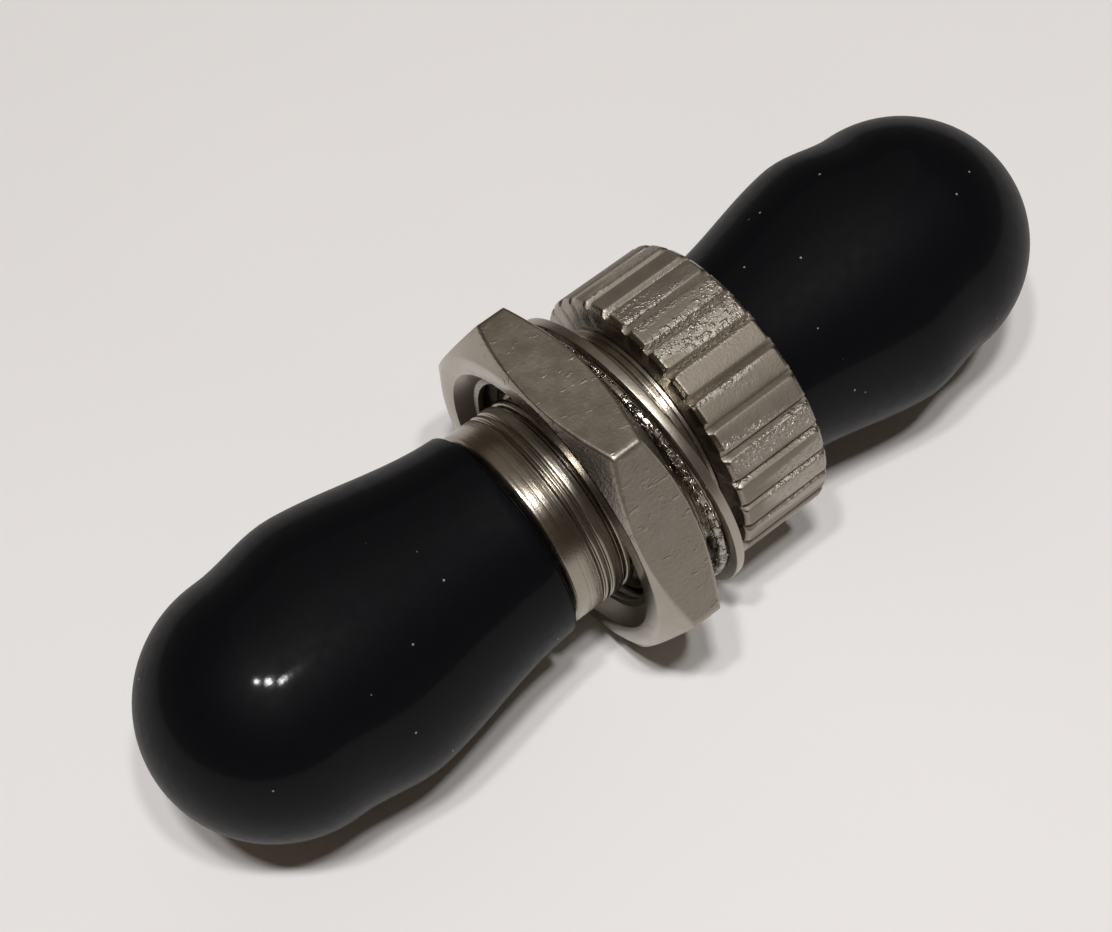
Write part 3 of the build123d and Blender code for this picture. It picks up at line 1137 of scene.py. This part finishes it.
@dataclass
class PanelHardware:
    """Hex nut, toothed lock washer and flat washer on the thread."""

    face_r: float = 6.82
    bevel_slope: float = math.tan(math.radians(30))
    corner_r: float = 8.06
    edge_blend: float = 0.05
    # Distances of the loops from each face of the nut, in mm.
    edge_stations: tuple[float, ...] = (
        0.0, 0.02, 0.04, 0.06, 0.08, 0.1, 0.12, 0.15, 0.18, 0.22,
        0.27, 0.33, 0.4, 0.48, 0.56, 0.64, 0.72, 0.82, 1.0,
    )
    face_ring: float = 0.12
    lip: float = 0.03
    lip_depth: float = 0.02
    nut_segments: int = 432
    countersink_r: float = 6.0
    bore_r: float = 5.54
    ledge_depth: float = 0.6
    ledge_outer_r: float = 5.42
    ledge_inner_r: float = 5.16
    # Where the step over the ledge starts and ends, in mm behind the ledge.
    ledge_wall: tuple[float, float] = (0.25, 0.3)
    thread_crest_r: float = 4.98
    thread_rear_gap: float = 0.35
    thread_phase: float = 0.45
    pitch: float = 1.0
    lean: float = math.radians(4.4)
    lean_towards: float = math.radians(230)
    lock_r: float = 6.15
    lock_drop: float = 0.33
    lock_x: float = 0.32
    lock_rim: float = 0.4
    lock_thickness: float = 0.35
    # Wide, narrow and shallow bevels of the outer edges, in mm.
    rim_bevels: Triple = (0.13, 0.05, 0.04)
    # How far outside the rim a tooth starts to bend, in mm, and its share of the twist there.
    tooth_root: tuple[float, float] = (0.1, 0.3)
    tooth_count: int = 12
    tooth_width: float = 1.3
    tooth_side: float = 0.25
    tooth_tip_r: float = 5.575
    tooth_twist: float = math.radians(12)
    samples_per_tooth: int = 28
    flat_r: float = 6.55
    flat_hole_r: float = 6.015
    flat_thickness: float = 0.4
    flat_drop: float = 0.42
    flat_x: float = 0.8
    flat_segments: int = 200

    def nut(self) -> Piece:
        """Hex nut whose corners are bevelled by a cone on each face.

        Returns:
            The nut as one closed mesh.
        """
        low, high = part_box("hex_nut")
        front, rear = low[0] / MM, high[0] / MM
        flat = (high[2] - low[2]) / MM / 2
        depth = rear - front

        def hexagon(angle: float) -> float:
            """Radius of the hexagon with its corners turned off."""
            off = (angle - math.pi / 2 + math.pi / 6) % (math.pi / 3) - math.pi / 6
            return soft_min(flat / math.cos(off), self.corner_r, self.edge_blend)

        near = list(self.edge_stations)
        loops = []
        for offset in near + [depth / 2] + [depth - n for n in reversed(near)]:
            ceiling = self.face_r + min(offset, depth - offset) / self.bevel_slope

            def radius(angle: float, ceiling: float = ceiling) -> float:
                """Radius of the hexagon, held under the cone of the bevel."""
                return soft_min(hexagon(angle), ceiling, self.edge_blend)

            loops.append(loop_at(front + offset, radius, self.nut_segments))
        face = self.face_r - self.face_ring
        sink = self.countersink_r - self.bore_r
        ledge = front + self.ledge_depth
        wall_foot, wall_top = self.ledge_wall
        loops += round_loops([
            (rear, face), (rear, self.countersink_r + self.lip),
            (rear - self.lip_depth, self.countersink_r), (rear - sink, self.bore_r),
            (ledge + wall_top, self.bore_r), (ledge + wall_foot, self.ledge_inner_r),
            (ledge + self.lip, self.ledge_inner_r), (ledge, self.ledge_inner_r + self.lip),
            (ledge, self.ledge_outer_r), (ledge - self.lip, self.ledge_outer_r + self.lip_depth),
            (front + self.lip_depth, self.countersink_r),
            (front, self.countersink_r + self.lip), (front, face),
        ], self.nut_segments)
        return object_from_loops("hex_nut_bevelled", loops, closed=True)

    def hung(self, piece: Piece, station: float, drop: float) -> None:
        """Lean a washer that was made upright about the origin, and hang it round the thread.

        Args:
            piece: The washer.
            station: Where its middle comes along the axis, in mm.
            drop: How far it hangs below the axis, in mm.
        """
        piece.data.transform(Matrix.Rotation(-self.lean, 4, "Z"))
        piece.data.transform(Matrix.Rotation(self.lean_towards, 4, "X"))
        piece.data.transform(Matrix.Translation((station * MM, 0, -drop * MM)))

    def lock_washer(self) -> Piece:
        """Pressed washer whose inner edge is cut into teeth, each twisted out of the plane.

        Returns:
            The washer as one closed mesh, leaned and in place.
        """
        rim_r = self.lock_r - self.lock_rim
        pitch = TURN / self.tooth_count
        half_tooth = self.tooth_width / 2 / rim_r
        segments = self.tooth_count * self.samples_per_tooth
        half = self.lock_thickness / 2

        def tooth(angle: float) -> tuple[float, float]:
            """How much of a tooth stands at an angle, and its shift along the axis in mm."""
            off = angle - round(angle / pitch) * pitch
            share = ease((half_tooth - abs(off)) / (half_tooth * self.tooth_side) + 0.5)
            return share, off * rim_r * math.tan(self.tooth_twist) * share

        wide, narrow, shallow = self.rim_bevels
        root, twist_share = self.tooth_root
        rows = [
            (-half, self.lock_r - wide, 0.0), (-half + shallow, self.lock_r - narrow, 0.0),
            (-half + wide, self.lock_r, 0.0), (half - narrow, self.lock_r, 0.0),
            (half, self.lock_r - narrow, 0.0),
            (half, rim_r + root, twist_share), (half, rim_r, 1.0),
            (-half, rim_r, 1.0), (-half, rim_r + root, twist_share),
        ]
        loops = []
        for x, r, inward in rows:
            loop = []
            for index in range(segments):
                angle = TURN * index / segments
                share, shift = tooth(angle)
                radius = r - (rim_r - self.tooth_tip_r) * share * (inward == 1.0)
                loop.append(Vector((
                    x + shift * inward, radius * math.cos(angle), radius * math.sin(angle)
                )) * MM)
            loops.append(loop)
        piece = object_from_loops("lock_washer_toothed", loops, closed=True)
        sharpen(piece, 40)
        self.hung(piece, self.lock_x, self.lock_drop)
        return piece

    def flat_washer(self) -> Piece:
        """Pressed plain ring with rounded edges, leaned and in place.

        Returns:
            The washer.
        """
        half = self.flat_thickness / 2
        outline = [
            (-half, self.flat_hole_r), (-half, self.flat_r),
            (half, self.flat_r), (half, self.flat_hole_r),
        ]
        rounded = softened(outline, steps=EDGE_STEPS + 1)
        piece = lathe("flat_washer_pressed", rounded, self.flat_segments)
        weigh_normals(piece)
        self.hung(piece, self.flat_x, self.flat_drop)
        return piece

    def build(self, nut_finish: Material, lock_finish: Material, flat_finish: Material) -> None:
        """Make and dress the nut, its thread and both washers.

        Args:
            nut_finish: Finish of the nut.
            lock_finish: Finish of the lock washer.
            flat_finish: Finish of the flat washer.
        """
        nut = self.nut()
        weigh_normals(nut)
        put_on(nut, nut_finish, "nickel_plate", "nut", "hex_nut")
        low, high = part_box("hex_nut")
        thread = Helix(
            low[0] / MM + self.ledge_depth + self.ledge_wall[1],
            high[0] / MM - self.thread_rear_gap,
            self.bore_r, self.thread_crest_r, self.pitch, self.thread_phase,
        ).build("hex_nut_thread")
        put_on(thread, nut_finish, "nickel_plate", "nut")
        put_on(self.lock_washer(), lock_finish, "washer_plate", "washer", "lock_washer")
        put_on(self.flat_washer(), flat_finish, "washer_plate", "adapter", "flat_washer")


@dataclass
class DustCap:
    """Vinyl cap pulled over a port, tight at the mouth and stretched over the lugs."""

    end: End
    mouth: float
    dome_x: float
    port: PortBarrel = field(default_factory=PortBarrel)
    wall: float = 0.65
    lip: float = 0.2
    lip_steps: int = 6
    grip_r: float = 3.98
    dome_r: float = 5.36
    dome_steps: int = 28
    inner_dome_steps: float = 13.5
    bulge_r: float = 5.75
    swell_lead: float = 1.05
    rise_start: float = 0.02
    localness: float = 2.6
    rows: int = 26
    segments: int = 176

    def radii(self, x: float) -> tuple[float, float]:
        """Outer radius over the lugs and across them at a station.

        Args:
            x: Distance from the middle of the adapter in mm.

        Returns:
            Radius over the lugs and radius across them, in mm.
        """
        lug = self.port.lug_x
        across = self._plain_r(x)
        rise = ease((x - self.mouth) / (lug - self.mouth) * (1 - self.rise_start) + self.rise_start)
        fall = 1 - ease((x - lug) / (self.dome_x - lug))
        over = across + (self.bulge_r - self._plain_r(lug)) * (rise if x < lug else fall)
        return over, across

    def _plain_r(self, x: float) -> float:
        """Outer radius at a station, away from the lugs."""
        mouth_r = self.grip_r + self.wall
        swell = ease((x - self.mouth) / (self.dome_x - self.mouth) * self.swell_lead)
        return mouth_r + (self.dome_r - mouth_r) * swell

    def loop(self, x: float, shrink: float) -> Loop:
        """One loop of the skin.

        Args:
            x: Distance from the middle of the adapter in mm.
            shrink: How far inside the outer skin the loop lies, in mm.

        Returns:
            The loop in metres.
        """
        over, across = self.radii(x)

        def radius(angle: float) -> float:
            """Radius at an angle, swollen towards the lugs."""
            towards = abs(math.cos(angle - self.port.lug_angle)) ** self.localness
            return across + (over - across) * towards - shrink

        return loop_at(x * self.end.value, radius, self.segments)

    def build(self, finish: Material) -> None:
        """Make and dress the cap.

        Args:
            finish: Vinyl finish.
        """
        lip_end = self.mouth + self.lip
        span = self.dome_x - lip_end
        loops = []
        for k in range(int(self.inner_dome_steps), 0, -1):
            loops.append(self._dome_loop(self.dome_r - self.wall, k / self.inner_dome_steps))
        for k in range(self.rows + 1):
            loops.append(self.loop(self.dome_x - span * k / self.rows, self.wall))
        for k in range(1, self.lip_steps):
            a = math.pi * k / self.lip_steps
            x = self.mouth + self.lip * (1 - math.sin(a))
            loops.append(self.loop(x, self.wall * (1 + math.cos(a)) / 2))
        for k in range(self.rows + 1):
            loops.append(self.loop(lip_end + span * k / self.rows, 0.0))
        for k in range(1, self.dome_steps):
            loops.append(self._dome_loop(self.dome_r, k / self.dome_steps))
        name = self.end.name.lower()
        piece = object_from_loops(f"{name}_cap_vinyl", loops, closed=False)
        put_on(piece, finish, "black_vinyl", f"{name}_cap", f"{name}_dust_cap")

    def _dome_loop(self, radius: float, share: float) -> Loop:
        """Loop of the domed end.

        Args:
            radius: Radius of the dome in mm.
            share: How far round from the dome's edge to its tip, from 0 to 1.

        Returns:
            The loop in metres.
        """
        angle = math.pi / 2 * share
        x = (self.dome_x + radius * math.sin(angle)) * self.end.value
        return loop_at(x, lambda _: radius * math.cos(angle), self.segments)


@dataclass
class Studio:
    """Pale floor, soft lights and the camera, in the frame of the adapter."""

    distance: float = 86.04
    azimuth: float = 30.17
    elevation: float = 56.69
    roll: float = -10.05
    right: float = -2.13
    up: float = -0.36
    focal_px: float = 2172.6
    sensor_mm: float = 36.0
    clip_start: float = 0.001
    floor_gap: float = 0.02
    floor_size: float = 1.2
    room_colour: str = "52493F"
    lamp_place: Triple = (-0.036, -0.082, 0.338)
    lamp_row: Triple = (0.778, -0.621, -0.096)
    lamp_spacing: float = 0.056
    lamp_colour: str = "FFFCFC"
    # Step along the row, size in metres and watts of each key lamp.
    lamps: tuple[Triple, ...] = ((-1, 0.02, 0.28), (0, 0.028, 0.5), (1, 0.02, 0.28))
    fill_place: Triple = (0.11, 0.19, 0.36)
    fill_size: float = 0.34
    fill_watts: float = 0.05
    fill_colour: str = "FFF8E8"

    def camera(self) -> None:
        """Place the camera at the photograph's viewing angle."""
        data = bpy.data.cameras.new("studio_camera")
        data.sensor_width = self.sensor_mm
        data.lens = self.sensor_mm * self.focal_px / IMAGE_WIDTH
        data.clip_start = self.clip_start
        camera = add_object("studio_camera", data)
        turn = (
            Matrix.Rotation(math.radians(-self.azimuth), 4, "Z")
            @ Matrix.Rotation(math.radians(90 - self.elevation), 4, "X")
            @ Matrix.Rotation(math.radians(self.roll), 4, "Z")
        )
        back = turn @ Vector((self.right, self.up, self.distance)) * MM
        camera.matrix_world = Matrix.Translation(back) @ turn
        bpy.context.scene.camera = camera

    def floor(self) -> None:
        """Lay the pale floor just under the nut."""
        low, _ = CAD_BOX
        s = self.floor_size / 2
        z = low[2] - self.floor_gap * MM
        mesh = bpy.data.meshes.new("floor")
        mesh.from_pydata([(-s, -s, z), (s, -s, z), (s, s, z), (-s, s, z)], [], [(0, 1, 2, 3)])
        floor = add_object("floor", mesh)
        floor.data.materials.append(PaintedFloor().build())

    def light(self, name: str, place: Triple, size: float, watts: float, colour: str) -> None:
        """Add one soft square light that faces the adapter.

        Args:
            name: Name of the light.
            place: Position in metres.
            size: Width and height in metres.
            watts: Power.
            colour: sRGB hex colour.
        """
        data = bpy.data.lights.new(name, "AREA")
        data.shape = "RECTANGLE"
        data.size = data.size_y = size
        data.energy = watts
        data.color = linear(colour)[:3]
        lamp = add_object(name, data)
        lamp.location = place
        lamp.rotation_euler = (-Vector(place)).to_track_quat("-Z", "Y").to_euler()

    def build(self) -> None:
        """Set up the whole studio."""
        world = bpy.data.worlds.new("studio_world")
        world.use_nodes = True
        background = world.node_tree.nodes["Background"]
        background.inputs["Color"].default_value = linear(self.room_colour)
        background.inputs["Strength"].default_value = 1.0
        bpy.context.scene.world = world
        self.floor()
        self.camera()
        bpy.context.scene.view_settings.view_transform = "Standard"
        for step, size, watts in self.lamps:
            place = Vector(self.lamp_place) + Vector(self.lamp_row) * self.lamp_spacing * step
            self.light(f"key_{step + 2}", tuple(place), size, watts, self.lamp_colour)
        self.light("overhead", self.fill_place, self.fill_size, self.fill_watts, self.fill_colour)


def main() -> None:
    """Build the adapter and its studio, sub-assembly by sub-assembly."""
    logging.basicConfig(level=logging.INFO, format="%(name)s: %(message)s")
    # Nickel over turned brass: a fairly clear mirror whose fine rings draw streaks round it.
    turned = NickelPlate(
        "turned_nickel", stain="877E70", roughness=0.25, ring_mm=0.2, ring_depth_mm=0.018,
    ).build()
    # Nickel over knurled brass: dull ribs with sandy grains in patches. Their brightness is partly
    # real glints and partly a painted lighter tint.
    rib_metal = NickelPlate(
        "knurled_nickel", colour="9C968A", stain="847C70", roughness=0.68, grain_depth_mm=0.012,
        face_roughness=0.24, face_from=0.15, face_to=0.5, mottle_mm=0.9,
        sand_mm=0.2, sand_depth_mm=0.042, sand_polish=0.18, sand_glint_colour="AEA89D",
    ).build()
    # Nickel over a nut cut from hex bar: satin flats with small nicks, clearer turned faces.
    nut_metal = NickelPlate(
        "nut_nickel", roughness=0.4, roughness_spread=0.14, face_roughness=0.2,
        grain_mm=0.14, grain_depth_mm=0.009, nick_depth_mm=0.01, mottle_mm=1.1,
    ).build()
    # Nickel over pressed spring steel: burrs all round break the light into small glints.
    lock_metal = NickelPlate(
        "lock_washer_nickel", roughness=0.2,
        sand_mm=0.28, sand_depth_mm=0.13, sand_outside_patches=0.8,
    ).build()
    # Nickel over pressed steel: an even satin.
    flat_metal = NickelPlate("flat_washer_nickel", roughness=0.34, grain_depth_mm=0.006).build()
    vinyl = DippedVinyl().build()
    FrontBody().build(turned)
    RearBody().build(rib_metal, turned)
    SleeveSet().build(Zirconia().build(), turned)
    PanelHardware().build(nut_metal, lock_metal, flat_metal)
    DustCap(End.FRONT, mouth=5.35, dome_x=16.2).build(vinyl)
    DustCap(End.REAR, mouth=6.05, dome_x=15.55).build(vinyl)
    Studio().build()


if __name__ == "__main__":
    main()
